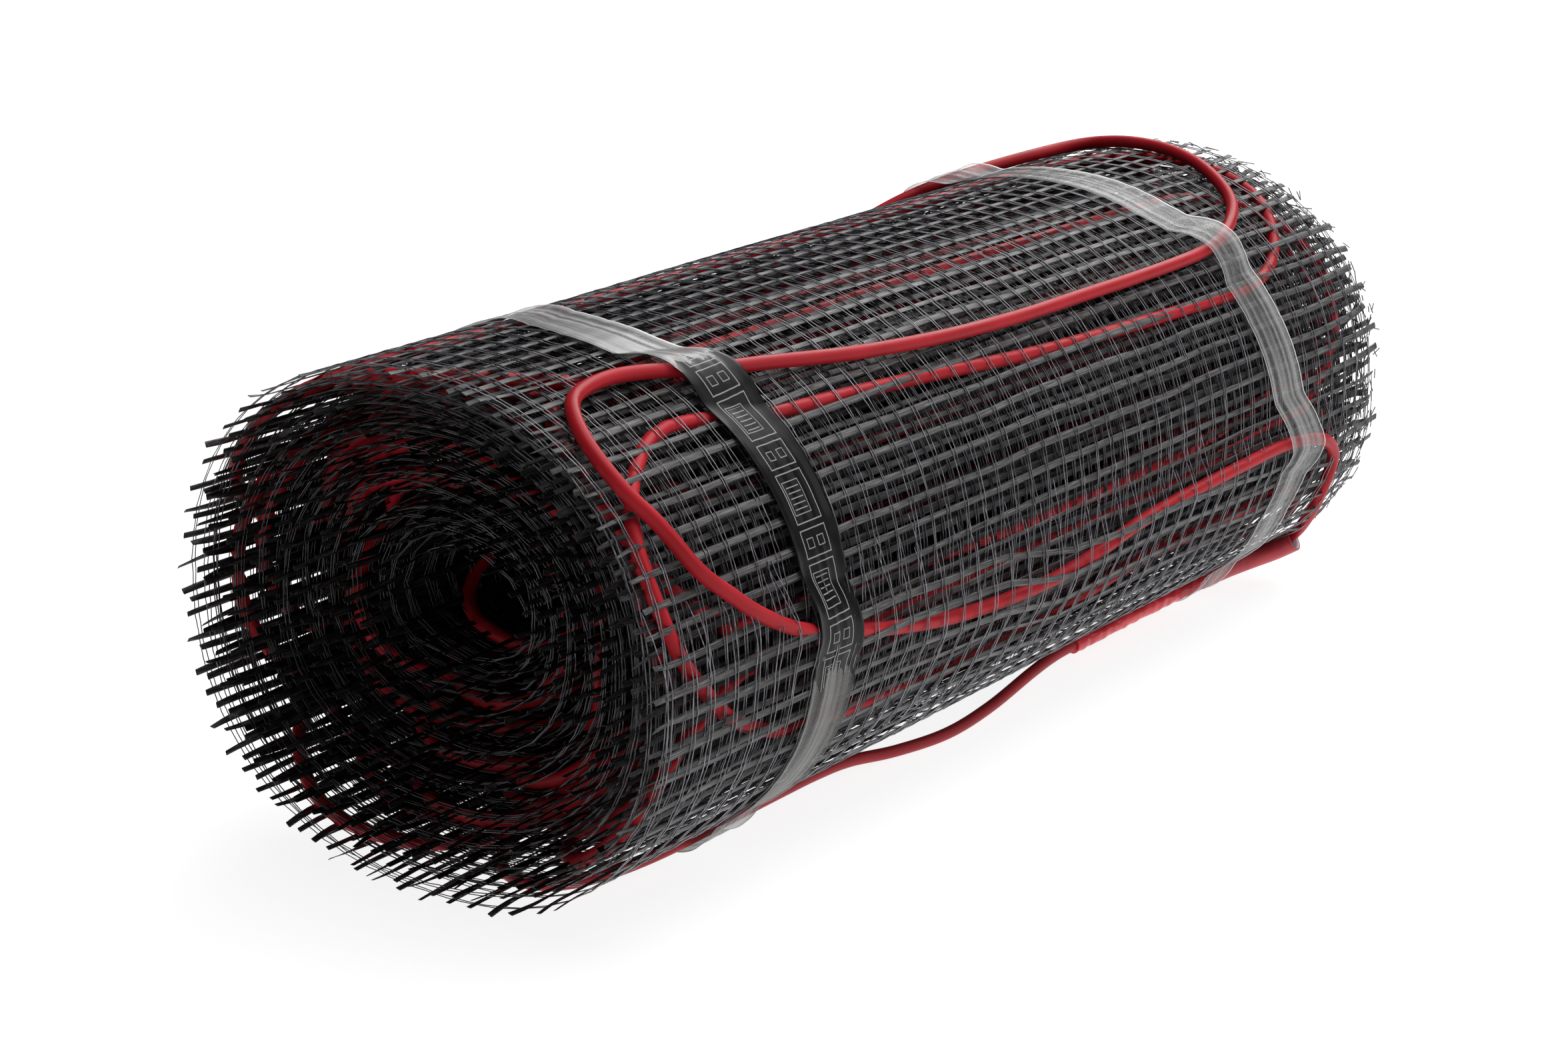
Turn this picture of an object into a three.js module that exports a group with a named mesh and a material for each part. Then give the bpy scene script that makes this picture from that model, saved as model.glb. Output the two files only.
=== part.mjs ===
// Underfloor heating mat, rolled up and lying on its side.
// Millimetres, +Z up. The roll's axis runs along Y, with the front end towards -Y.
// The origin is the centre of the bottom of the whole part's box.

import * as THREE from "three";

// The wound roll of mesh, with the heating cable wound in between its turns
const rollLength = 500;
const rollRadius = 97;
const boreRadius = 22;
const turnCount = 24;
const turnGrooveWidth = 1.2;
const turnGrooveDepth = 4;
const rollFacets = 40;

// Lying on its side, the roll is pressed a little flat by its own weight.
const lyingWidth = 206;
const lyingHeight = 183;
const pressX = lyingWidth / (2 * rollRadius);
const pressZ = lyingHeight / (2 * rollRadius);

// The clear adhesive tape bands round the roll
const bandWidth = 25;
const bandThickness = 0.5;
const bandClearance = 0.3;
const frontBandInset = 95;
const backBandInset = 82;
const frontBandSlant = 3;
const backBandSlant = 14;
const bandSlopeLength = 8;

// The cables and the heat-shrink sleeves of the joint between them
const heatingCableDiameter = 5.2;
const coldLeadDiameter = 4.6;
const mouthSleeveDiameter = 7.6;
const shrinkSleeveDiameter = 6.6;
const mouthSleeveLength = 62;
const shrinkSleeveLength = 122;
const cableClearance = 0.5;
const endGap = 0.3;
const cableStepLength = 15;
const sleeveStepLength = 8;
const cableSides = 8;

// The one route that the heating cable, its joint and the cold lead follow over the roll.
// Each point is [angle in degrees above +X, distance from the roll's front end, lift off the roll].
const cableRoute = [
  [150, 352, 0],
  [136, 374, 0],
  [124, 402, 0],
  [115, 438, 0],
  [110, 466, 0],
  [101, 478, 0],
  [89, 476, 0],
  [76, 469, 0],
  [64, 459, 0],
  [54, 445, 0],
  [47, 420, 0],
  [43, 385, 0],
  [42, 320, 0],
  [41, 257, 0],
  [45, 208, 0],
  [49, 163, 0],
  [54, 115, 0],
  [60, 74, 0],
  [62, 50, 0],
  [59, 30, 0],
  [51, 19, 0],
  [42, 15, 0],
  [33, 20, 0],
  [22, 31, 0],
  [12, 48, 0],
  [4, 75, 0],
  [-3, 115, 0],
  [-8, 170, 0],
  [-11, 235, 0],
  [-7, 290, 0],
  [-5, 350, 0],
  [-5, 415, 0],
  [-8, 450, 0],
  [-15, 470, 0],
  [-26, 478, 0],
  [-38, 486, 0.8],
  [-48, 489, 1.2],
  [-55, 481, 1.4],
  [-57, 462, 1.4],
  [-57, 430, 1.4],
  [-57, 380, 1.4],
  [-56, 335, 1.4],
  [-55, 285, 4.5],
  [-55, 235, 7],
  [-56, 185, 3],
  [-56, 135, 0],
  [-57, 95, 0],
  [-57, 55, 1],
  [-60, 28, 0],
  [-67, 12, 0],
];
const jointRoutePoint = 36;

const materials = {
  mesh: new THREE.MeshStandardMaterial({ color: 0x35353a, roughness: 0.6, metalness: 0 }),
  cable: new THREE.MeshStandardMaterial({ color: 0xb03a42, roughness: 0.45, metalness: 0 }),
  lead: new THREE.MeshStandardMaterial({ color: 0xa83238, roughness: 0.45, metalness: 0 }),
  mouthSleeve: new THREE.MeshStandardMaterial({ color: 0xb84a50, roughness: 0.4, metalness: 0 }),
  shrinkSleeve: new THREE.MeshStandardMaterial({ color: 0xb81838, roughness: 0.35, metalness: 0 }),
  tape: new THREE.MeshStandardMaterial({
    color: 0xc8ccd0, roughness: 0.15, metalness: 0, transparent: true, opacity: 0.5,
  }),
};

function namedMesh(name, geometry, material) {
  const mesh = new THREE.Mesh(geometry, material);
  mesh.name = name;
  return mesh;
}

// Each turn of the mat is a flat ridge on the end face, with a V groove between it and the next.
function rollProfile() {
  const pitch = (rollRadius - boreRadius) / turnCount;
  const halfLength = rollLength / 2;
  const ridges = [];
  for (let turn = 0; turn < turnCount; turn += 1) {
    const inner = boreRadius + turn * pitch;
    const outer = inner + pitch;
    if (turn > 0) {
      ridges.push([inner, halfLength - turnGrooveDepth]);
      ridges.push([inner + turnGrooveWidth / 2, halfLength]);
    } else {
      ridges.push([inner, halfLength]);
    }
    ridges.push([turn < turnCount - 1 ? outer - turnGrooveWidth / 2 : outer, halfLength]);
  }
  const backEnd = ridges.map(([radius, y]) => new THREE.Vector2(radius, y));
  const frontEnd = ridges.map(([radius, y]) => new THREE.Vector2(radius, -y)).reverse();
  const profile = [...frontEnd, ...backEnd];
  profile.push(profile[0].clone());
  return profile;
}

function makeRoll() {
  const geometry = new THREE.LatheGeometry(rollProfile().reverse(), rollFacets);
  geometry.rotateY(Math.PI / rollFacets);
  geometry.scale(pressX, 1, pressZ);
  return namedMesh("mesh_roll", geometry, materials.mesh);
}

// A point of the route lies over the roll by half the cable's own thickness and its clearance.
function routePoint([angle, distance, lift]) {
  const radius = rollRadius + cableClearance + heatingCableDiameter / 2 + lift;
  const turn = THREE.MathUtils.degToRad(angle);
  return new THREE.Vector3(
    pressX * radius * Math.cos(turn),
    distance - rollLength / 2,
    pressZ * radius * Math.sin(turn),
  );
}

const route = new THREE.CatmullRomCurve3(cableRoute.map(routePoint), false, "centripetal");
route.arcLengthDivisions = 2000;
const routeLength = route.getLength();

// A stretch of the route between two distances along it
class RouteStretch extends THREE.Curve {
  constructor(from, to) {
    super();
    this.from = from;
    this.to = to;
    this.arcLengthDivisions = 400;
  }

  getPoint(share, target = new THREE.Vector3()) {
    const distance = THREE.MathUtils.lerp(this.from, this.to, share);
    return route.getPointAt(distance / routeLength, target);
  }
}

// The distance along the route at which one of its points lies
function distanceToRoutePoint(index) {
  const lengths = route.getLengths(route.arcLengthDivisions);
  const share = index / (cableRoute.length - 1);
  return lengths[Math.round(share * route.arcLengthDivisions)];
}

const mouthStart = distanceToRoutePoint(jointRoutePoint) - endGap;
const shrinkStart = mouthStart + mouthSleeveLength;
const leadStart = shrinkStart + shrinkSleeveLength;
const cablePieces = [
  {
    name: "heating_cable",
    from: 0,
    to: mouthStart,
    diameter: heatingCableDiameter,
    step: cableStepLength,
    material: materials.cable,
  },
  {
    name: "joint_sleeve_mouth",
    from: mouthStart + endGap,
    to: shrinkStart,
    diameter: mouthSleeveDiameter,
    step: sleeveStepLength,
    material: materials.mouthSleeve,
  },
  {
    name: "joint_sleeve_shrunk",
    from: shrinkStart + endGap,
    to: leadStart,
    diameter: shrinkSleeveDiameter,
    step: sleeveStepLength,
    material: materials.shrinkSleeve,
  },
  {
    name: "cold_lead",
    from: leadStart + endGap,
    to: routeLength,
    diameter: coldLeadDiameter,
    step: cableStepLength,
    material: materials.lead,
  },
];

// A full arc comes out with twice as many sides as its curveSegments.
function makeCablePiece({ name, from, to, diameter, step, material }) {
  const section = new THREE.Shape();
  section.absarc(0, 0, diameter / 2, 0, 2 * Math.PI, false);
  const geometry = new THREE.ExtrudeGeometry(section, {
    steps: Math.ceil((to - from) / step),
    curveSegments: cableSides / 2,
    extrudePath: new RouteStretch(from, to),
    bevelEnabled: false,
  });
  return namedMesh(name, geometry, material);
}

// The radius of a facetted ring at an angle, where the ring's corners are at cornerRadius
function facetRadius(cornerRadius, angle) {
  const facet = (2 * Math.PI) / rollFacets;
  const fromMiddle = THREE.MathUtils.euclideanModulo(angle + Math.PI / 2 + facet / 2, facet) - facet / 2;
  return (cornerRadius * Math.cos(facet / 2)) / Math.cos(fromMiddle);
}

// The angles over which a cable piece passes under a band, and how high it stands there
function humpOver(piece, band) {
  const stretch = new RouteStretch(piece.from, piece.to);
  const hump = { from: Infinity, to: -Infinity, top: 0 };
  const reach = bandWidth / 2 + piece.diameter;
  const samples = Math.ceil(piece.to - piece.from);
  const humps = [];
  let open = null;
  for (let index = 0; index <= samples; index += 1) {
    const point = stretch.getPoint(index / samples);
    const bandMiddle = band.middle - band.slope * point.z;
    if (Math.abs(point.y - bandMiddle) <= reach) {
      const angle = Math.atan2(point.z / pressZ, point.x / pressX);
      const radius = Math.hypot(point.x / pressX, point.z / pressZ);
      open = open ?? { ...hump };
      open.from = Math.min(open.from, angle);
      open.to = Math.max(open.to, angle);
      open.top = Math.max(open.top, radius + piece.diameter / 2 + bandClearance);
      open.half = piece.diameter / 2;
    } else if (open) {
      humps.push(open);
      open = null;
    }
  }
  if (open) {
    humps.push(open);
  }
  return humps;
}

// Humps that touch along the band become one, as tape tents over two pieces that lie close.
function mergedHumps(humps) {
  const spread = humps.map(({ from, to, top, half }) => {
    const side = (half + bandClearance) / top;
    return { from: from - side, to: to + side, top };
  });
  spread.sort((one, other) => one.from - other.from);
  const merged = [];
  const slope = bandSlopeLength / rollRadius;
  for (const hump of spread) {
    const last = merged.at(-1);
    if (last && hump.from < last.to + 2 * slope) {
      last.to = Math.max(last.to, hump.to);
      last.top = Math.max(last.top, hump.top);
    } else {
      merged.push({ ...hump });
    }
  }
  return merged;
}

function bandOutline(humps, cornerRadius, offset) {
  const facet = (2 * Math.PI) / rollFacets;
  const slope = bandSlopeLength / rollRadius;
  const points = [];
  for (let corner = 0; corner < rollFacets; corner += 1) {
    const angle = -Math.PI / 2 + (corner + 0.5) * facet;
    const wrapped = angle > Math.PI ? angle - 2 * Math.PI : angle;
    const covered = humps.some(({ from, to }) => wrapped > from - slope && wrapped < to + slope);
    if (!covered) {
      points.push([wrapped, cornerRadius + offset]);
    }
  }
  for (const { from, to, top } of humps) {
    points.push([from - slope, facetRadius(cornerRadius + offset, from - slope)]);
    const steps = Math.ceil((to - from) / facet);
    const step = (to - from) / steps;
    for (let index = 0; index <= steps; index += 1) {
      points.push([from + index * step, top / Math.cos(step / 2) + offset]);
    }
    points.push([to + slope, facetRadius(cornerRadius + offset, to + slope)]);
  }
  points.sort((one, other) => one[0] - other[0]);
  return points.map(([angle, radius]) => (
    new THREE.Vector2(pressX * radius * Math.cos(angle), pressZ * radius * Math.sin(angle))
  ));
}

function makeBand({ name, middle, slope }) {
  const humps = mergedHumps(cablePieces.flatMap((piece) => humpOver(piece, { middle, slope })));
  const cornerRadius = rollRadius + bandClearance;
  const outline = new THREE.Shape(bandOutline(humps, cornerRadius, bandThickness));
  outline.holes.push(new THREE.Path(bandOutline(humps, cornerRadius, 0)));
  const geometry = new THREE.ExtrudeGeometry(outline, {
    depth: bandWidth,
    steps: 1,
    bevelEnabled: false,
  });
  geometry.translate(0, 0, -bandWidth / 2);
  geometry.rotateX(Math.PI / 2);
  const slant = new THREE.Matrix4().set(
    1, 0, 0, 0,
    0, 1, -slope, middle,
    0, 0, 1, 0,
    0, 0, 0, 1,
  );
  geometry.applyMatrix4(slant);
  return namedMesh(name, geometry, materials.tape);
}

const bands = [
  {
    name: "tape_band_front",
    middle: frontBandInset - rollLength / 2,
    slope: frontBandSlant / rollRadius,
  },
  {
    name: "tape_band_back",
    middle: rollLength / 2 - backBandInset,
    slope: backBandSlant / rollRadius,
  },
];

const heatingMat = new THREE.Group();
heatingMat.add(makeRoll());
heatingMat.add(...cablePieces.map(makeCablePiece));
heatingMat.add(...bands.map(makeBand));

// The part stands on the floor with its origin under the middle of its box.
const box = new THREE.Box3().setFromObject(heatingMat, true);
const middle = box.getCenter(new THREE.Vector3());
heatingMat.position.set(-middle.x, -middle.y, -box.min.z);

export default heatingMat;
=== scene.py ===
import math
import random

import bmesh
import bpy
import numpy as np
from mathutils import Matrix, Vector, noise


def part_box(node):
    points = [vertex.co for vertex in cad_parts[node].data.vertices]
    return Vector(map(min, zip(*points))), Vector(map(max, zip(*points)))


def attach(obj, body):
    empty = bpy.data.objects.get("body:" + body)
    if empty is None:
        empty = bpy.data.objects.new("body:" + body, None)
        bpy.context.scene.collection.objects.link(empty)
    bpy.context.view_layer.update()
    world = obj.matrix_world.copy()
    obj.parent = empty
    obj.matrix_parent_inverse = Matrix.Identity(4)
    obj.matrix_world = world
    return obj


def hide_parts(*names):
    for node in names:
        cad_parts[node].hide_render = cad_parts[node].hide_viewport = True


# The CAD frame of the rolled mat: it lies along Y with its front end at low Y, and the floor is at
# height 0. Lengths below are in millimetres until a mesh is finished.
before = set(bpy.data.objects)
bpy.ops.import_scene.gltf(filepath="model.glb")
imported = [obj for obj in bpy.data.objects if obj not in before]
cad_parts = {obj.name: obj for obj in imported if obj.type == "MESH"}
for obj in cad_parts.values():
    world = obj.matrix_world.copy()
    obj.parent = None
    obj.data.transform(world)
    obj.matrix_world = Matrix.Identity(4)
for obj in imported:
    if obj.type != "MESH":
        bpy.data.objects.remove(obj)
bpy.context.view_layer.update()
metres = 0.001
roll_low, roll_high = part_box("mesh_roll")
mat_width = (roll_high[1] - roll_low[1]) / metres
roll_middle_x = 0.5 * (roll_low[0] + roll_high[0]) / metres
front_end_y = roll_low[1] / metres
roll_middle_z = 92.6

# The camera stands to the front right of the roll and looks slightly down on it, with a long lens.
camera_data = bpy.data.cameras.new("camera")
camera_data.lens = 77.32
camera_data.sensor_width = 36.0
camera = bpy.data.objects.new("camera", camera_data)
bpy.context.scene.collection.objects.link(camera)
camera.location = (
    (roll_middle_x + 722.2) * metres,
    (front_end_y - 765.9) * metres,
    (roll_middle_z + 369.0) * metres,
)
degrees_down, degrees_aside = 17.38, 36.43
camera.rotation_euler = (math.radians(90 - degrees_down), 0, math.radians(degrees_aside))
bpy.context.scene.camera = camera
bpy.context.scene.view_settings.view_transform = "Standard"

# Plain soft light: broad lamps behind the roll and above it, and a wide bright sky from behind, so
# that the front end of the roll stays in the shade.
roll_centre = Vector((0.0, 0.0, 0.09))


def soft_light(name, place, size, watts):
    lamp = bpy.data.lights.new(name, "AREA")
    lamp.shape = "RECTANGLE"
    lamp.size, lamp.size_y = size
    lamp.energy = watts
    holder = bpy.data.objects.new(name, lamp)
    bpy.context.scene.collection.objects.link(holder)
    holder.location = place
    toward = roll_centre - Vector(place)
    holder.rotation_euler = toward.to_track_quat("-Z", "Y").to_euler()


soft_light("behind", (-0.55, 1.7, 1.15), (1.2, 0.8), 15)
soft_light("right", (1.5, 0.9, 0.9), (1.0, 0.8), 6)
soft_light("overhead", (0.3, 0.1, 1.6), (1.2, 1.0), 9)
sky = bpy.data.lights.new("sky", "SUN")
sky.energy = 2.4
sky.angle = math.radians(60)
sky_holder = bpy.data.objects.new("sky", sky)
bpy.context.scene.collection.objects.link(sky_holder)
toward_floor = -Vector((0.1, 0.5, 0.86))
sky_holder.rotation_euler = toward_floor.to_track_quat("-Z", "Y").to_euler()
world = bpy.data.worlds.new("world")
world.use_nodes = True
world.node_tree.nodes["Background"].inputs["Color"].default_value = (1, 1, 1, 1)
world.node_tree.nodes["Background"].inputs["Strength"].default_value = 0.05
bpy.context.scene.world = world


# The floor is one wide pale sheet, which also fills the view behind the roll. It glows a little, so
# that it stays near white everywhere but in the roll's shade.
class Finish:
    """A procedural material: nodes are added by type and joined by socket name."""

    def __init__(self, name, **values):
        self.material = bpy.data.materials.new(name)
        self.material.use_nodes = True
        self.tree = self.material.node_tree
        self.shader = self.tree.nodes["Principled BSDF"]
        for key, value in values.items():
            self.shader.inputs[key.replace("_", " ")].default_value = value

    def node(self, kind, joins=(), **options):
        made = self.tree.nodes.new("ShaderNode" + kind)
        for key, value in options.items():
            if hasattr(made, key):
                setattr(made, key, value)
            else:
                made.inputs[key.replace("_", " ")].default_value = value
        for socket, source in joins:
            self.tree.links.new(source, made.inputs[socket])
        return made

    def ramp(self, source, stops):
        made = self.node("ValToRGB", [("Fac", source)])
        elements = made.color_ramp.elements
        while len(elements) < len(stops):
            elements.new(0.5)
        for element, (place, colour) in zip(elements, stops):
            element.position = place
            element.color = (*colour, 1)
        return made.outputs["Color"]

    def reckon(self, operation, *values):
        """A sum of numbers, each one plain or another node's output."""
        made = self.node("Math", operation=operation)
        for socket, value in zip(made.inputs, values):
            if isinstance(value, (int, float)):
                socket.default_value = value
            else:
                self.tree.links.new(value, socket)
        return made.outputs[0]

    def mixed(self, share, first, second):
        """The first colour where the share is 0, and the second where it is 1."""
        made = self.node("Mix", [("Factor", share)], data_type="RGBA")
        for socket, value in ((made.inputs[6], first), (made.inputs[7], second)):
            if isinstance(value, tuple):
                socket.default_value = (*value, 1)
            else:
                self.tree.links.new(value, socket)
        return made.outputs[2]

    def paint(self, socket, source):
        self.tree.links.new(source, self.shader.inputs[socket])

    def paint_inner_shade(self, colour, place, near, far, least, shine):
        """Painted shade: darkens a yarn, and its shine, from one length of the mat to another."""
        axes = self.node("SeparateXYZ", [("Vector", place)])
        share = self.node(
            "MapRange", [("Value", axes.outputs["X"])],
            From_Min=near, From_Max=far, To_Min=1.0, To_Max=least,
        ).outputs["Result"]
        shaded_colour = self.node("VectorMath", [("Vector", colour), ("Scale", share)], operation="SCALE")
        self.paint("Base Color", shaded_colour.outputs["Vector"])
        self.paint("Specular IOR Level", self.reckon("MULTIPLY", share, shine))

    def bump(self, source, strength, distance):
        made = self.node("Bump", [("Height", source)], Strength=strength, Distance=distance)
        self.tree.links.new(made.outputs["Normal"], self.shader.inputs["Normal"])


floor_half_side = 40.0
sheet = bmesh.new()
bmesh.ops.create_grid(sheet, x_segments=1, y_segments=1, size=floor_half_side)
floor_mesh = bpy.data.meshes.new("floor")
sheet.to_mesh(floor_mesh)
sheet.free()
floor = bpy.data.objects.new("floor", floor_mesh)
bpy.context.scene.collection.objects.link(floor)
floor_finish = Finish(
    "pale_floor", Base_Color=(0.22, 0.22, 0.22, 1), Roughness=0.9,
    Emission_Color=(1, 1, 1, 1), Emission_Strength=0.88,
)
floor_mesh.materials.append(floor_finish.material)


# The mat is wound into two dozen turns, and lies a little flattened on the floor. A place on it is
# given as on the loom: the length from its cut outer end, the distance from the front edge, and the
# height over the weave. Turn angles count from the cut end inwards.
turn_count = 24
full_turn = 2 * math.pi
outer_half_width, outer_half_top, outer_half_bottom = 105.6, 92.9, 91.8
bore_half_width, bore_half_height = 26.0, 17.0
bore_shift = (11.0, 12.5)
upper_squareness, lower_squareness = 2.15, 2.3
narrowing = 0.022
bore_recess, ragged_recess = 13, 3.0
least_height = 0.5
cut_end_angle = math.radians(-3)
cut_end_held = math.radians(60)
cut_end_radius = 103.0
cut_end_along = [0, 140, 203, 250, 339, 400, 500]
cut_end_degrees = [3, 2, 0, -5, -6, -9, -9]


def cut_end(along):
    return np.radians(np.interp(along, cut_end_along, cut_end_degrees))


def turned(turn_angle, along):
    """The angle over the roll's right side at which a place on the mat comes to lie."""
    held = np.exp(-((np.maximum(turn_angle, 0) / cut_end_held) ** 2))
    return cut_end_angle + (cut_end(along) - cut_end_angle) * held - turn_angle


def uneven(turn_angle, along):
    """The waves of a loosely wound turn, which grow towards the bore and the front edge."""
    inward = np.clip(turn_angle / (turn_count * full_turn), 0, 1)
    loose = (0.45 + 0.7 * inward) * (1 + 0.9 * np.exp(-along / 40))
    return loose * (
        0.8 * np.sin(2.31 * turn_angle + 0.006 * along + 0.7)
        + 0.6 * np.sin(3.83 * turn_angle - 0.009 * along + 2.1)
        + 0.35 * np.sin(0.031 * along + 1.7 * turn_angle)
    )


def section(turn_angle, angle, along):
    """Where a turn lies across the roll and up it, at an angle over the right side."""
    outward = 1 - turn_angle / (turn_count * full_turn)
    upper = np.sin(angle) >= 0
    wide = bore_half_width + (outer_half_width - bore_half_width) * outward
    top = bore_half_height + (outer_half_top - bore_half_height) * outward
    bottom = bore_half_height + (outer_half_bottom - bore_half_height) * outward
    high = np.where(upper, top, bottom)
    power = np.where(upper, upper_squareness, lower_squareness)
    reach = (
        (np.abs(np.cos(angle)) / wide) ** power + (np.abs(np.sin(angle)) / high) ** power
    ) ** (-1 / power)
    reach = reach + uneven(turn_angle, along)
    reach = reach * (1 - narrowing * along / mat_width)
    shift = 1 - outward
    return (
        bore_shift[0] * shift + reach * np.cos(angle),
        bore_shift[1] * shift + reach * np.sin(angle),
    )


def wind(turn_angle, along, lift, angle=None):
    """Places on the wound mat, in metres, for arrays of its own measures."""
    if angle is None:
        angle = turned(turn_angle, along)
    step = 0.004
    x, z = section(turn_angle, angle, along)
    before = section(turn_angle, angle - step, along)
    after = section(turn_angle, angle + step, along)
    run_x, run_z = after[0] - before[0], after[1] - before[1]
    size = np.hypot(run_x, run_z)
    x = x + lift * run_z / size
    z = z - lift * run_x / size
    inward = np.clip(turn_angle / (turn_count * full_turn), 0, 1)
    ragged = ragged_recess * np.sin(1.37 * turn_angle + 0.4) * np.clip(inward * 8, 0, 1)
    recess = bore_recess * inward ** 1.3 + ragged
    y = recess + along * (1 - recess / mat_width)
    z = np.maximum(z, least_height - roll_middle_z)
    return np.stack([x + roll_middle_x, y + front_end_y, z + roll_middle_z], axis=-1) * metres


steps_per_turn = 180
measured_along = 250.0
turn_steps = np.linspace(0, turn_count * full_turn, turn_count * steps_per_turn)
spiral = wind(turn_steps, np.full_like(turn_steps, measured_along), np.zeros_like(turn_steps))
mat_lengths = np.concatenate(
    [[0], np.cumsum(np.linalg.norm(np.diff(spiral, axis=0), axis=1))]
) / metres
mat_length = mat_lengths[-1]


def wound_angle(length):
    """How far round the roll a length of the mat reaches, also for stubs before its cut end."""
    inside = np.interp(length, mat_lengths, turn_steps)
    return np.where(length < 0, length / cut_end_radius, inside)


def length_at(degrees):
    """The length of mat in the outermost turns, up to a number of degrees."""
    return np.interp(math.radians(degrees), turn_steps, mat_lengths)


# The last metre of the heating cable lies outside on the roll and dives under the mat's cut end,
# which is raised where it lies over the cable. Routes over the roll take one degree round it as one
# even length.
degree_length = 1.75
route_step = 3.5
cable_radius = 2.6
flap_below, flap_degrees = 4.9, 12
flap_slack, flap_flat, flap_reach = 0.6, 1.5, 8.5
loop_route = [
    (172, 280, -3.1), (165, 312, -1.5), (152, 350, 2.2), (137, 376, 3.2), (125, 402, 3.3),
    (116, 438, 3.3), (110, 464, 3.3), (100, 473, 3.3), (87, 473, 3.3), (75, 468, 3.3),
    (66, 461, 3.3), (56, 450, 3.3), (50, 437, 3.3), (45, 415, 3.3), (43, 389, 3.3),
    (42.7, 342, 3.3), (43, 304, 3.3), (43.4, 256, 3.3), (45, 206, 3.3), (48, 160, 3.3),
    (52.5, 119, 3.3), (55, 98, 3.3), (60, 69, 3.3), (61.6, 52, 3.3), (60.4, 36, 3.3),
    (57.4, 26, 3.3), (51, 18.3, 3.3), (44, 15.2, 3.3), (37, 16.2, 3.3), (31, 21, 3.3),
    (20.5, 30.5, 3.3), (14, 43, 3.3), (7.8, 58.5, 3.3), (2, 80, 3.3), (-3, 112, 3.2),
    (-6.6, 140, 3.1), (-9.8, 172, 3.1), (-11.8, 208, 3.1), (-12.3, 244, 3.1), (-10.8, 274, 3.1),
    (-8.7, 298, 3.2), (-7.4, 328, 3.2), (-6.6, 376, 3.3), (-6, 412, 4.0), (-7, 434, 5.2),
    (-9, 449, 5.6), (-12.5, 459, 4.9), (-16, 464, 4.2), (-22, 467, 3.6), (-30, 473, 3.4),
    (-38, 482, 3.8), (-45, 489, 5.4), (-50, 488, 7.2), (-52.5, 482, 7.9),
]  # angle in degrees, distance from the front edge, height over the turn below the cut end


def smooth_course(points, step):
    """A smooth line through the points, resampled at an even step."""
    points = np.asarray(points, dtype=float)
    ends = [2 * points[0] - points[1], *points, 2 * points[-1] - points[-2]]
    dense = []
    for a, b, c, d in zip(ends, ends[1:], ends[2:], ends[3:]):
        for t in np.linspace(0, 1, 12, endpoint=False):
            dense.append(
                0.5
                * (
                    2 * b
                    + (c - a) * t
                    + (2 * a - 5 * b + 4 * c - d) * t ** 2
                    + (3 * b - a - 3 * c + d) * t ** 3
                )
            )
    dense = np.array(dense + [points[-1]])
    gone = np.concatenate([[0], np.cumsum(np.linalg.norm(np.diff(dense[:, :3], axis=0), axis=1))])
    wanted = np.linspace(0, gone[-1], max(2, int(gone[-1] / step)))
    return np.column_stack([np.interp(wanted, gone, dense[:, i]) for i in range(dense.shape[1])])


def route_course(route, step):
    return smooth_course([(a * degree_length, s, h) for a, s, h in route], step)


loop = route_course(loop_route, route_step)
under_flap = loop[(loop[:, 2] < flap_below) & (loop[:, 0] < flap_degrees * degree_length)]
turn_rise = (outer_half_width - bore_half_width) / turn_count


def raised_flap(turn_angle, along):
    """How far the outermost turn is held up by the cable that it lies over."""
    raised = np.zeros(len(along))
    near = turn_angle < 0.9
    angle = np.degrees(turned(turn_angle[near], along[near]))
    gap = np.hypot(
        angle[:, None] * degree_length - under_flap[None, :, 0],
        along[near][:, None] - under_flap[None, :, 1],
    ).min(axis=1)
    over_cable = 2 * cable_radius + flap_slack - turn_rise
    raised[near] = over_cable * np.exp(-((np.maximum(gap - flap_flat, 0) / flap_reach) ** 2))
    return raised


# The weave is made flat, as strands along curves, and then wound. A strand keeps its place in the
# flat mat as an attribute, which its finish reads to run along the yarn.
def strand_profile(name, corners):
    outline = bpy.data.curves.new(name, "CURVE")
    outline.dimensions = "2D"
    spline = outline.splines.new("POLY")
    spline.points.add(len(corners) - 1)
    for point, corner in zip(spline.points, corners):
        point.co = (*corner, 0, 1)
    spline.use_cyclic_u = True
    holder = bpy.data.objects.new(name, outline)
    bpy.context.scene.collection.objects.link(holder)
    return holder


def strands(name, courses, profile=None, radius=None, rounds=None, caps=True):
    """One mesh of strands that follow the given courses, each a list of (x, y, z, size, tilt)."""
    line = bpy.data.curves.new(name, "CURVE")
    line.dimensions = "3D"
    line.twist_mode = "Z_UP"
    line.use_fill_caps = caps
    if profile:
        line.bevel_mode = "OBJECT"
        line.bevel_object = profile
    else:
        line.bevel_depth = radius
        line.bevel_resolution = rounds
    for course in courses:
        course = np.asarray(course, dtype=float)
        spline = line.splines.new("POLY")
        spline.points.add(len(course) - 1)
        places = np.column_stack([course[:, :3], np.ones(len(course))])
        spline.points.foreach_set("co", places.ravel())
        if course.shape[1] > 3:
            spline.points.foreach_set("radius", course[:, 3])
        if course.shape[1] > 4:
            spline.points.foreach_set("tilt", course[:, 4])
    holder = bpy.data.objects.new(name, line)
    bpy.context.scene.collection.objects.link(holder)
    seen = bpy.context.evaluated_depsgraph_get()
    mesh = bpy.data.meshes.new_from_object(holder.evaluated_get(seen))
    mesh.name = name
    bpy.data.objects.remove(holder)
    bpy.data.curves.remove(line)
    return mesh


def mesh_points(mesh):
    places = np.empty(len(mesh.vertices) * 3)
    mesh.vertices.foreach_get("co", places)
    return places.reshape(-1, 3)


def set_points(mesh, places):
    mesh.vertices.foreach_set("co", np.ascontiguousarray(places, dtype=float).ravel())
    mesh.update()


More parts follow.
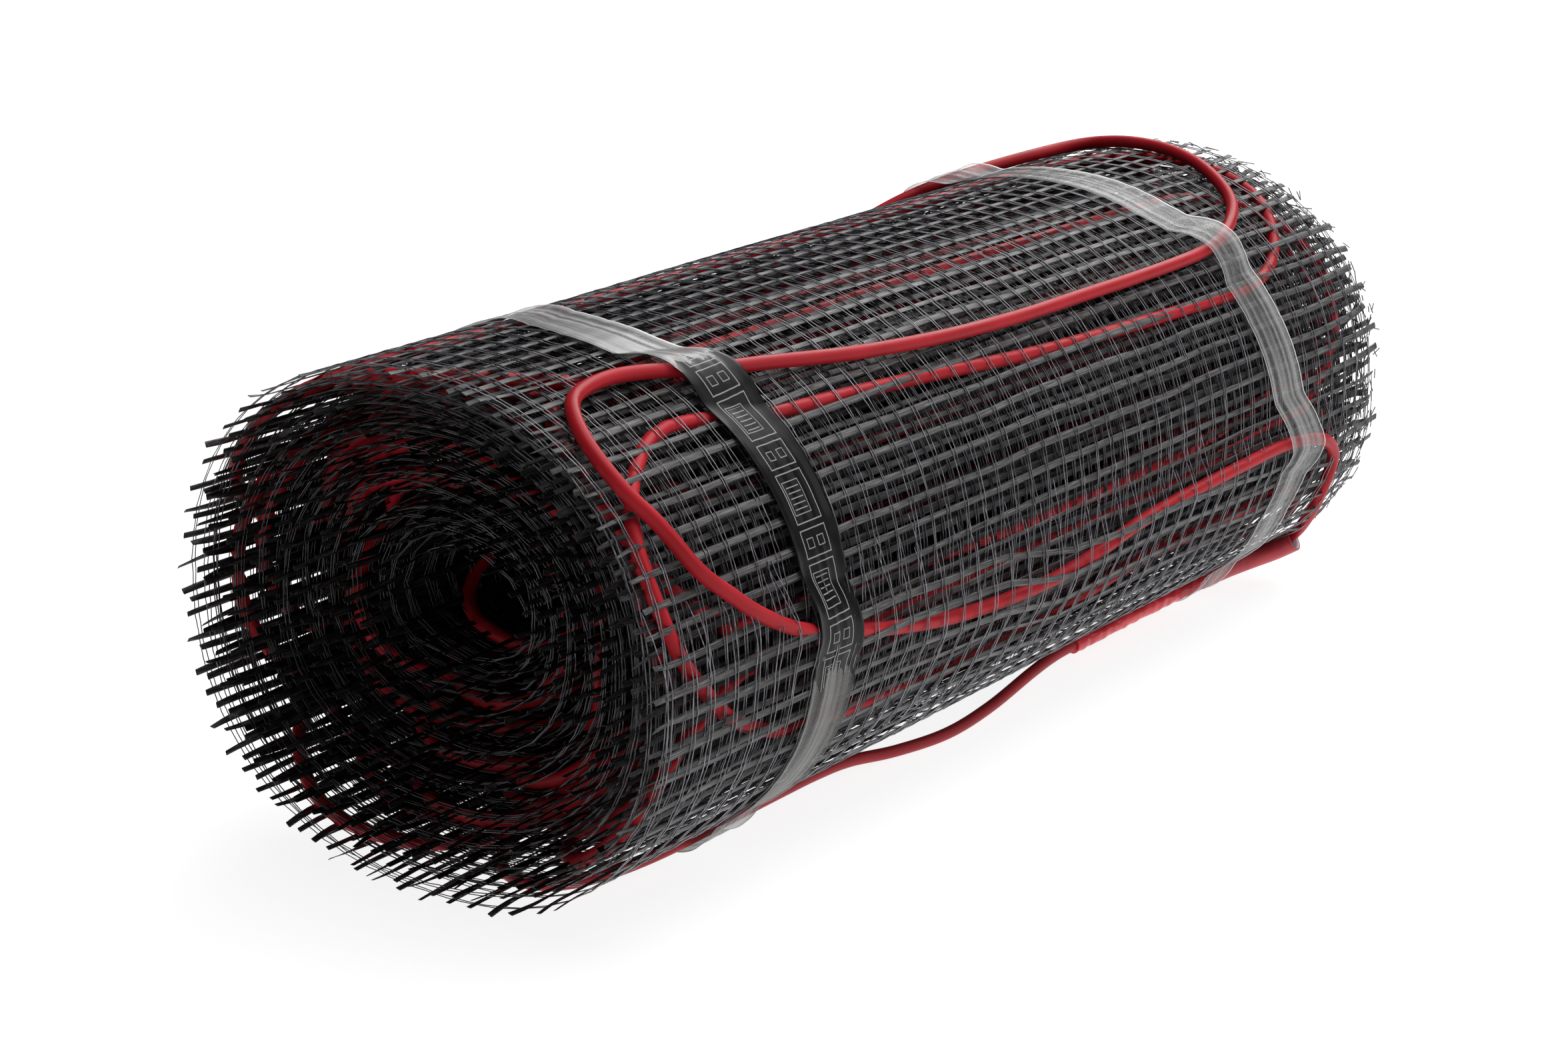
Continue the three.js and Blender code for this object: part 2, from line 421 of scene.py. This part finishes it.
def keep_flat(mesh, places):
    """Stores where each point lay before the piece was wound or bent, in millimetres."""
    layer = mesh.attributes.new("flat", "FLOAT_VECTOR", "POINT")
    layer.data.foreach_set("vector", np.ascontiguousarray(places, dtype=float).ravel())


def piece(name, mesh, finish, node):
    made = bpy.data.objects.new(name, mesh)
    bpy.context.scene.collection.objects.link(made)
    mesh.materials.clear()
    mesh.materials.append(finish.material)
    for face in mesh.polygons:
        face.material_index = 0
    mesh.polygons.foreach_set("use_smooth", [True] * len(mesh.polygons))
    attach(made, "root")
    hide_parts(node)
    return made


def wound_piece(name, courses, finish, profile):
    mesh = strands(name, courses, profile=profile)
    flat = mesh_points(mesh)
    keep_flat(mesh, flat)
    turn_angle = wound_angle(flat[:, 0])
    lift = flat[:, 2] + raised_flap(turn_angle, flat[:, 1])
    set_points(mesh, wind(turn_angle, flat[:, 1], lift))
    return piece(name, mesh, finish, "mesh_roll")


# The wefts are flat bundles of glass filament, laid across the mat every centimetre. They are dark
# grey and glossy, stand out of the front edge with square ends, and fray at the back edge.
chance = random.Random(7)
weft_pitch, weft_width, weft_thickness = 9.6, 2.6, 0.4
first_weft = 3.5
end_stretch, last_stretch = 30, 26
warp_pitch, warp_gap = 11.0, 1.0
first_warp = 9.0
one_turn = length_at(360)
outer_turns = length_at(4 * 360)
middle_turns = length_at(8 * 360)

weft_finish = Finish("glass_roving", Roughness=0.4)
weft_place = weft_finish.node("Attribute", attribute_name="flat").outputs["Vector"]
along_yarn = weft_finish.node("Mapping", [("Vector", weft_place)], Scale=(5.0, 0.045, 5.0))
filaments = weft_finish.node(
    "TexNoise", [("Vector", along_yarn.outputs["Vector"])], Scale=1.0, Detail=4.0, Roughness=0.65
).outputs["Fac"]
# Painted shade: from about one turn in, the wefts' colour and shine fade to a little over a
# quarter, as if the inner turns lay in shade.
weft_finish.paint_inner_shade(
    weft_finish.ramp(
        filaments,
        [(0.36, (0.004, 0.004, 0.004)), (0.52, (0.04, 0.037, 0.037)), (0.68, (0.25, 0.243, 0.24))],
    ),
    weft_place, 0.9 * one_turn, 2.4 * one_turn, 0.28, 0.36,
)
across_warps = weft_finish.node("SeparateXYZ", [("Vector", weft_place)]).outputs["Y"]
pinched = weft_finish.reckon(
    "MULTIPLY_ADD", across_warps, math.pi / warp_pitch, -first_warp * math.pi / warp_pitch
)
bead = weft_finish.reckon("ABSOLUTE", weft_finish.reckon("SINE", pinched))
weft_finish.bump(weft_finish.reckon("MULTIPLY_ADD", filaments, 0.22, bead), 0.8, 0.0011)

half_width, half_thickness = 0.5 * weft_width, 0.5 * weft_thickness
weft_profile = strand_profile(
    "weft_profile",
    [
        (-half_width, 0),
        (-0.6 * half_width, -half_thickness),
        (0.6 * half_width, -half_thickness),
        (half_width, 0),
        (0.6 * half_width, half_thickness),
        (-0.6 * half_width, half_thickness),
    ],
)


def weft_course(length, step):
    """One weft from the front edge to the back, a little bowed, with ends that splay and twist."""
    start = chance.uniform(0.0, 5.0)
    end = mat_width + chance.uniform(-4, 3)
    along = np.concatenate(
        [
            np.linspace(start, end_stretch, 6),
            np.arange(end_stretch + step, mat_width - end_stretch, step),
            np.linspace(mat_width - last_stretch, end, 4),
        ]
    )
    sway = chance.uniform(0.15, 0.5)
    turns = [chance.uniform(0, full_turn) for _ in range(4)]
    aside = sway * np.sin(along / 21 + turns[0]) + 0.6 * sway * np.sin(along / 9.7 + turns[1])
    bent = chance.gauss(0, 0.9)
    aside = aside + bent * np.clip((16 - along) / 16, 0, 2) ** 1.5
    frayed = chance.gauss(0, 2.2)
    aside = aside + frayed * np.clip((along - mat_width + 18) / 18, 0, 2) ** 1.5
    height = 0.14 * np.sin(along / 17 + turns[3]) + 0.06 * np.sin(along / 6.1 + turns[2])
    height = height + chance.gauss(0, 0.6) * np.clip((12 - along) / 12, 0, 2) ** 1.5
    tip = np.clip((20 - along) / 20, 0, 1)
    size = (1 + 0.12 * np.sin(along / 31 + turns[1])) * (1 - 0.25 * tip)
    tilt = chance.gauss(0, 0.12) + chance.gauss(0, 0.6) * tip
    return np.column_stack([length + aside, along, height, size, tilt])


weft_places = np.arange(first_weft, mat_length - 4, weft_pitch)
weft_places = weft_places + np.array([chance.uniform(-1.0, 1.0) for _ in weft_places])
wefts = {"outer": [], "middle": [], "inner": []}
for place in weft_places:
    part, step = "inner", 55.0
    if place < outer_turns:
        part, step = "outer", 11.0
    elif place < middle_turns:
        part, step = "middle", 20.0
    wefts[part].append(weft_course(place, step))
for part, courses in wefts.items():
    wound_piece("wefts_" + part, courses, weft_finish, weft_profile)

# The warps are pairs of thin glass yarns along the mat, twisted round each weft. They are cut off
# a little beyond the last weft, where their stubs lie loose over the turn below.
warp_finish = Finish("glass_yarn", Roughness=0.25)
warp_place = warp_finish.node("Attribute", attribute_name="flat").outputs["Vector"]
warp_map = warp_finish.node("Mapping", [("Vector", warp_place)], Scale=(0.07, 3.0, 3.0))
warp_fibres = warp_finish.node(
    "TexNoise", [("Vector", warp_map.outputs["Vector"])], Scale=1.0, Detail=3.0, Roughness=0.6
).outputs["Fac"]
# Painted shade: from about one turn in, the warps' colour and shine fade to about a third, as if
# the inner turns lay in shade.
warp_finish.paint_inner_shade(
    warp_finish.ramp(
        warp_fibres,
        [(0.34, (0.02, 0.02, 0.023)), (0.5, (0.11, 0.107, 0.124)), (0.66, (0.36, 0.35, 0.4))],
    ),
    warp_place, 0.9 * one_turn, 2.6 * one_turn, 0.35, 1.0,
)
warp_finish.bump(warp_fibres, 0.15, 0.0002)
warp_profile = strand_profile("warp_profile", [(-0.27, 0.0), (0.0, -0.2), (0.27, 0.0), (0.0, 0.2)])
plain_profile = strand_profile("plain_profile", [(-0.27, -0.12), (0.27, -0.12), (0.0, 0.24)])


def warp_course(along, side, start, end, step, phases):
    """One yarn of a pair: it dips between the wefts and leans to and from its partner."""
    if start == 0:
        start = -chance.uniform(5, 26)
    length = np.arange(start, end + step, step)
    apart = warp_gap * (0.8 + 0.28 * np.sin(length / 37 + phases[0]))
    twist = 0.16 * np.cos(length * math.pi / weft_pitch + phases[1])
    sway = 0.8 * np.sin(length / 190 + phases[2]) + 0.35 * np.sin(length / 37 + phases[3])
    height = 0.1 + 0.42 * np.abs(np.cos((length - first_weft) * math.pi / weft_pitch))
    loose = np.clip(-length / 20, 0, 2)
    height = height - 3.4 * loose + side * 0.8 * loose
    place = along + side * (apart + twist) + sway + 3.0 * phases[4] * loose
    return np.column_stack([length, place, height])


warps = {"outer": [], "second": [], "inner": []}
warp_count = 45
split = length_at(1.9 * 360)
seen_from_front, seen_from_back = 120, 75
for index in range(warp_count):
    along = first_warp + warp_pitch * index
    phases = [chance.uniform(0, full_turn) for _ in range(4)] + [chance.gauss(0, 0.7)]
    for side in (-1, 1):
        warps["outer"].append(warp_course(along, side, 0, split, 5.0, phases))
        warps["second"].append(warp_course(along, side, split, outer_turns, 5.0, phases))
        if along < seen_from_front or along > mat_width - seen_from_back:
            warps["inner"].append(warp_course(along, side, outer_turns, mat_length, 10.0, phases))
for part, courses in warps.items():
    profile = warp_profile if part == "outer" else plain_profile
    wound_piece("warps_" + part, courses, warp_finish, profile)

# At the back edge the weave is cut through a row of warps, so bits of them hang on the weft ends.
fray = []
bits_per_weft = 4
for place in weft_places[weft_places < outer_turns]:
    for _ in range(bits_per_weft):
        along = mat_width - chance.uniform(-3, 13)
        out = chance.uniform(1.2, 3.6)
        lean = chance.gauss(0, 1.6)
        height = chance.gauss(0.1, 0.5)
        fray.append([(place - out, along - lean, height), (place + out, along + lean, -height)])
wound_piece("fray", fray, warp_finish, plain_profile)

# The heating cable is fixed under the mesh in long runs from edge to edge, joined by half-round
# bends near each edge. It is wound up with the mat, so its bends show between the turns.
cable_below = 2.8
run_gap = 113.0
cable_edge = 16.0
deeper_from = length_at(3 * 360)
bare_at_bore = 220
right_side = 357


def grey(value):
    return (value, value, value)


def sheathing(name, dark, light, smoothest, shine):
    """Soft plastic, a little cloudy in colour and polish, with a fine grain."""
    made = Finish(name, Specular_IOR_Level=shine)
    place = made.node("TexCoord").outputs["Object"]
    cloud = made.node("TexNoise", [("Vector", place)], Scale=38.0, Detail=3.0).outputs["Fac"]
    grain = made.node("TexNoise", [("Vector", place)], Scale=420.0, Detail=2.0).outputs["Fac"]
    made.paint("Base Color", made.ramp(cloud, [(0.35, dark), (0.65, light)]))
    made.paint(
        "Roughness", made.ramp(cloud, [(0.3, grey(smoothest)), (0.7, grey(smoothest + 0.14))])
    )
    made.bump(grain, 0.12, 0.0003)
    return made


cable_finish = sheathing("red_sheath", (0.33, 0.009, 0.015), (0.42, 0.014, 0.023), 0.36, 0.14)

shown_bend = [
    (32, 407), (33.5, 330), (35.6, 261), (38.8, 202), (41.2, 153), (43.2, 109), (46.4, 84),
    (48, 62), (46.2, 47), (42, 34.5), (36, 22), (29, 15), (22.9, 13), (16.5, 14), (8, 18.5),
    (0.7, 27.4), (-6.5, 39.7), (-12, 51), (-18.5, 73), (-21.6, 90), (-25.5, 140), (-28.5, 193),
    (-28, 240), (-27, 277), (-23, 325), (-24, 410),
]  # angle over the right side in degrees, distance from the front edge
shown_runs = [length_at(180), length_at(242)]


def serpentine(runs, first_front):
    """Half-round bends between runs at the given lengths, first at the front or at the back."""
    points = []
    front = first_front
    for here, there in zip(runs, runs[1:]):
        half = 0.5 * (there - here)
        drift = chance.gauss(0, 4)
        edge = cable_edge + (chance.uniform(0, 15) if here > deeper_from else 0)
        for turn in np.linspace(0, math.pi, 9):
            reach = edge + chance.uniform(0, 2) + half * (1 - math.sin(turn))
            along = reach if front else mat_width - reach
            points.append((here + half * (1 - math.cos(turn)), along))
        past_middle = 60 if front else -60
        points.append((there + drift, 0.5 * mat_width + past_middle))
        front = not front
    return points


def cable_height(length):
    return -cable_below + 0.5 * np.sin(length / 40)


outer_cable = [(length_at(185), 280), (length_at(182), 180)] + serpentine(shown_runs, True)
inner_runs = [length_at(right_side + 22)]
while inner_runs[-1] + run_gap < mat_length - bare_at_bore:
    inner_runs.append(inner_runs[-1] + run_gap * chance.uniform(0.94, 1.06))
shown = [(float(length_at(right_side - angle)), along) for angle, along in shown_bend]
back_bend = serpentine([shown_runs[-1], shown[0][0]], False)
whole_cable = outer_cable + back_bend[:-1] + shown + serpentine(inner_runs, False)
flat_cable = smooth_course(whole_cable, 9.0)
flat_cable = np.column_stack([flat_cable, cable_height(flat_cable[:, 0])])
cable_places = wind(wound_angle(flat_cable[:, 0]), flat_cable[:, 1], flat_cable[:, 2])
cable_mesh = strands("cable_in_mat", [cable_places], radius=cable_radius * metres, rounds=3)
piece("cable_in_mat", cable_mesh, cable_finish, "mesh_roll")


# The last metre of the cable comes over the top of the roll, makes a narrow loop at the front,
# dives under the mat's cut end, and comes out again at the rear band.
def laid(angle, along, lift):
    """Places over the turn that lies just below the mat's cut end, carried on under its flap."""
    angle = np.radians(angle)
    turn_angle = full_turn + cut_end_angle - angle
    return wind(turn_angle, along, lift, angle=angle)


loop_places = laid(loop[:, 0] / degree_length, loop[:, 1], loop[:, 2])
loop_mesh = strands("heating_loop", [loop_places], radius=cable_radius * metres, rounds=5)
piece("heating_loop", loop_mesh, cable_finish, "heating_cable")

# The mouth of the joint is a tube of soft red plastic with a pale lining. It is open towards the
# cable, and its end is cut on a slant.
sleeve_route = [
    (-46, 493, 7.7), (-50, 488, 7.9), (-54, 478, 7.9), (-56, 465, 7.7), (-57, 450, 7.4),
    (-57.5, 440, 7.3),
]
flared_length, slant = 30, 16
wall_thickness = 0.8


def laid_course(route, step):
    course = route_course(route, step)
    return laid(course[:, 0] / degree_length, course[:, 1], course[:, 2])


def tube(name, places, radii, finish, node, rounds, caps=True):
    """A round tube along the places, with radii in millimetres at even shares of its length."""
    shares = np.linspace(0, 1, len(places))
    sizes = np.interp(shares, np.linspace(0, 1, len(radii)), radii)
    course = np.column_stack([places, sizes])
    mesh = strands(name, [course], radius=metres, rounds=rounds, caps=caps)
    return piece(name, mesh, finish, node)


sleeve_finish = sheathing("sleeve_red", (0.44, 0.04, 0.055), (0.56, 0.07, 0.085), 0.4, 0.3)
mouth = tube(
    "joint_mouth", laid_course(sleeve_route, 1.5), [5.2, 4.3, 3.8, 3.75], sleeve_finish,
    "joint_sleeve_mouth", rounds=10, caps=False,
)
lining_finish = sheathing("lining", (0.66, 0.58, 0.66), (0.8, 0.72, 0.78), 0.5, 0.3)
mouth.data.materials.append(lining_finish.material)
places = mesh_points(mouth.data)
facing = np.array([vertex.normal for vertex in mouth.data.vertices]) @ (0.88, 0.0, 0.47)
at_end = np.clip((places[:, 1] - places[:, 1].max()) / (flared_length * metres) + 1, 0, 1)
places[:, 1] -= slant * metres * at_end * np.clip(0.5 + 0.6 * facing, 0, 1) ** 1.5
set_points(mouth.data, places)
wall = mouth.modifiers.new("wall", "SOLIDIFY")
wall.thickness = wall_thickness * metres
wall.offset = -1
wall.material_offset = 1

# From the rear band on, the joint is a brighter sleeve, shrunk hard and crumpled over the splice to
# the cold lead. Its crumples are moved into the mesh.
shrunk_route = [
    (-57.5, 440, 7.1), (-57, 410, 6.9), (-57, 380, 6.9), (-57, 350, 6.9), (-57, 335, 6.9),
]
crumple_scale, crumple_depth = 260, 0.55
shrunk_finish = sheathing("shrunk_red", (0.62, 0.015, 0.03), (0.78, 0.03, 0.045), 0.22, 0.5)
shrunk = tube(
    "joint_shrunk", laid_course(shrunk_route, 1.2), [3.5, 3.3, 3.2, 3.25, 3.3], shrunk_finish,
    "joint_sleeve_shrunk", rounds=8,
)
places = mesh_points(shrunk.data)
crumples = np.array([noise.noise(Vector(place) * crumple_scale) for place in places])
normals = np.array([vertex.normal for vertex in shrunk.data.vertices])
set_points(shrunk.data, places + normals * crumples[:, None] * crumple_depth * metres)

# The cold lead is a thinner cable in a duller red. It hangs a little clear under the right side of
# the roll, passes under the front band, and is tucked in at the front end.
lead_route = [
    (-57, 340, 6.7), (-56.5, 320, 6.9), (-56, 300, 8.6), (-55, 265, 12.6), (-55, 235, 14.1),
    (-56, 205, 11.6), (-57, 180, 7.6), (-57, 160, 6.3), (-57, 135, 6.1), (-57, 95, 6.1),
    (-58, 68, 6.2), (-61, 46, 5.6), (-66, 33, 4.2), (-73, 28, 2.0), (-82, 34, 0.6), (-90, 52, 0.0),
    (-96, 86, 0.0),
]
lead_radius = 2.3
tucked_points = 5
lead_finish = sheathing("lead_red", (0.34, 0.02, 0.028), (0.43, 0.03, 0.038), 0.42, 0.2)
tube(
    "lead", laid_course(lead_route, 3.0), [lead_radius, lead_radius], lead_finish,
    "cold_lead", rounds=5,
)

# Two bands of clear tape hold the turns together. The film is pulled over the cables on its way
# round, and is creased lengthwise.
tape_width = 25.0
film_thickness = 0.12
rolled_edge = 0.45
tape_steps, tape_ribs = 420, 26
tape_start, tape_top = 270, 84
cable_spare = 0.5
front_tape = [
    (270, 94), (180, 100), (135, 107), (118, 107), (104, 97), (95, 89), (84, 85), (70, 84),
    (57, 89), (40, 93), (0, 97), (-20, 97), (-60, 94), (-90, 94),
]  # angle in degrees, distance of the band's middle from the front edge
back_tape = [
    (270, 428), (180, 412), (120, 401), (84, 401), (60, 400), (43, 408), (24, 413), (7, 420),
    (-3, 425), (-8, 429), (-16, 427), (-25, 424), (-40, 432), (-90, 428),
]
held_cables = np.concatenate(
    [
        loop,
        route_course(lead_route[:-tucked_points], route_step),
        route_course(shrunk_route, route_step),
        route_course(sleeve_route, route_step),
    ]
)


def tape_mesh(name, centre):
    grid = bmesh.new()
    bmesh.ops.create_grid(grid, x_segments=tape_steps, y_segments=tape_ribs, size=0.5)
    mesh = bpy.data.meshes.new(name)
    grid.to_mesh(mesh)
    grid.free()
    unit = mesh_points(mesh)
    angle = tape_start - 360 * (unit[:, 0] + 0.5)
    order = sorted(centre)
    middle = np.interp(angle, [a for a, _ in order], [s for _, s in order])
    along = middle + tape_width * unit[:, 1]
    run = (tape_top - angle) * degree_length
    across = tape_width * (unit[:, 1] + 0.5)
    flat = np.column_stack([run, across, 0 * along])
    edge = np.degrees(cut_end(along))
    step_up = turn_rise * np.clip((edge - angle) / 7 + 0.3, 0, 1)
    base = 0.8 + step_up
    gap = np.hypot(
        angle[:, None] * degree_length - held_cables[None, :, 0],
        along[:, None] - held_cables[None, :, 1],
    )
    near = np.argmin(gap, axis=1)
    distance = gap[np.arange(len(gap)), near]
    rise = held_cables[near, 2] + cable_radius + cable_spare
    hump = rise - 0.075 * np.maximum(distance - 1.2, 0) ** 1.6
    lift = np.logaddexp(base * 2.5, hump * 2.5) / 2.5
    folds = np.array(
        [
            noise.noise(Vector((y * 0.3, x * 0.011, 3.0)))
            + 0.3 * noise.noise(Vector((y * 0.6, x * 0.02, 9.0)))
            for x, y in zip(run, across)
        ]
    )
    ridges = 0
    for base_across, seed in ((8.0, 2.0), (15.5, 5.0)):
        wander = np.array([noise.noise(Vector((x * 0.012, seed, 0.0))) for x in run])
        ridges = ridges + np.exp(-(((across - base_across - 6 * wander) / 0.7) ** 2))
    over_wefts = 0.12 * np.abs(np.sin(run * math.pi / weft_pitch))
    curl = 0.5 * (2 * np.abs(unit[:, 1])) ** 8
    lift = lift + 0.2 * folds + 0.22 * ridges + over_wefts + curl
    set_points(mesh, laid(angle, along, lift))
    keep_flat(mesh, flat)
    return mesh


class Film(Finish):
    """Clear film, half seen through, with painted streak highlights along it and paler rolled
    edges.
    """

    def __init__(self, name, cover):
        super().__init__(name, Roughness=0.3, Specular_IOR_Level=0.35)
        place = self.node("Attribute", attribute_name="flat")
        axes = self.node("SeparateXYZ", [("Vector", place.outputs["Vector"])])
        self.run, self.across = axes.outputs["X"], axes.outputs["Y"]
        stretched = self.node(
            "Mapping", [("Vector", place.outputs["Vector"])], Scale=(0.008, 0.26, 1)
        )
        self.streaks = self.node(
            "TexNoise", [("Vector", stretched.outputs["Vector"])], Scale=1.0, Detail=1.6,
            Roughness=0.5,
        ).outputs["Fac"]
        # The rolled edges are painted paler and more opaque: partly the film doubled over, partly a
        # painted highlight.
        off_middle = self.reckon("SUBTRACT", self.across, 0.5 * tape_width)
        off_middle = self.reckon("ABSOLUTE", off_middle)
        edges = self.reckon("GREATER_THAN", off_middle, 0.5 * tape_width - rolled_edge)
        # Painted highlights: lengthwise streaks of lighter grey, where the film is also made more
        # opaque.
        streak_highlights = self.ramp(
            self.streaks, [(0.38, (0.2, 0.203, 0.203)), (0.62, (0.56, 0.565, 0.56))]
        )
        self.colour = self.mixed(edges, streak_highlights, (0.75, 0.76, 0.76))
        cover = self.reckon("MULTIPLY_ADD", self.streaks, 0.6, cover)
        self.cover = self.reckon("MAXIMUM", cover, self.reckon("MULTIPLY", edges, 0.75))
        self.bump(self.streaks, 0.02, 0.0002)


# The front band carries a printed stretch: a black strip with a row of plain frames, long hatched
# ones and short ones in turn. The rear band is bare.
bare_film = Film("clear_film", -0.04)
bare_film.paint("Base Color", bare_film.colour)
bare_film.paint("Alpha", bare_film.cover)

film = Film("printed_film", 0.2)
printed_from, printed_to = 46.0, 163.0
frame_pitch = 31.0
long_middle, short_middle = 9.6, 25.2
hatch_pitch, hatch_line = 1.9, 0.34


def box_distance(run, half_run, middle_across, half_across):
    beside = film.reckon("SUBTRACT", film.reckon("ABSOLUTE", run), half_run)
    off_middle = film.reckon("ABSOLUTE", film.reckon("SUBTRACT", film.across, middle_across))
    return film.reckon("MAXIMUM", beside, film.reckon("SUBTRACT", off_middle, half_across))


in_pitch = film.reckon("MODULO", film.run, frame_pitch)
in_long = film.reckon("SUBTRACT", in_pitch, long_middle)
in_short = film.reckon("SUBTRACT", in_pitch, short_middle)
hatch_area = film.reckon("LESS_THAN", box_distance(in_long, 4.9, 11.0, 3.2), 0.0)
hatch_lines = film.reckon("LESS_THAN", film.reckon("MODULO", film.run, hatch_pitch), hatch_line)
lines = film.reckon("MULTIPLY", hatch_area, hatch_lines)
for beside, half_run, middle_across, half_across, half_line in (
    (in_long, 8.6, 12.5, 6.6, 0.2),
    (in_long, 5.7, 11.0, 4.1, 0.15),
    (in_short, 4.6, 12.5, 6.6, 0.2),
    (in_short, 1.6, 9.6, 1.6, 0.15),
    (in_short, 1.6, 15.2, 1.6, 0.15),
):
    outline = box_distance(beside, half_run, middle_across, half_across)
    lines = film.reckon("MAXIMUM", lines, film.reckon("COMPARE", outline, 0.0, half_line))
run_here = film.reckon("ADD", film.run, film.reckon("MULTIPLY_ADD", film.streaks, 30.0, -15.0))
printed = film.reckon(
    "MULTIPLY",
    film.reckon("GREATER_THAN", run_here, printed_from),
    film.reckon("LESS_THAN", run_here, printed_to),
)
lines_shown = film.reckon("MULTIPLY", lines, printed)
beyond_print = film.reckon("GREATER_THAN", run_here, printed_to)
# Past the end of the print, on the lower side of the roll, the film is painted a darker grey, with
# the same painted streak highlights.
dull = film.ramp(film.streaks, [(0.4, (0.05, 0.05, 0.047)), (0.62, (0.24, 0.235, 0.225))])
colour = film.mixed(beyond_print, film.colour, dull)
colour = film.mixed(printed, colour, (0.004, 0.004, 0.0045))
film.paint("Base Color", film.mixed(lines_shown, colour, (0.3, 0.3, 0.31)))
film.paint("Alpha", film.reckon("MAXIMUM", film.cover, film.reckon("MULTIPLY", printed, 0.97)))
film.paint("Specular IOR Level", film.reckon("MULTIPLY_ADD", printed, -0.3, 0.42))

for name, centre, finish, node in (
    ("tape_front", front_tape, film, "tape_band_front"),
    ("tape_back", back_tape, bare_film, "tape_band_back"),
):
    band = piece(name, tape_mesh(name, centre), finish, node)
    thick = band.modifiers.new("film", "SOLIDIFY")
    thick.thickness = film_thickness * metres
    thick.offset = 1

# The outlines that the yarns were drawn from are no pieces of the mat, so they go.
for profile in (weft_profile, warp_profile, plain_profile):
    outline = profile.data
    bpy.data.objects.remove(profile)
    bpy.data.curves.remove(outline)
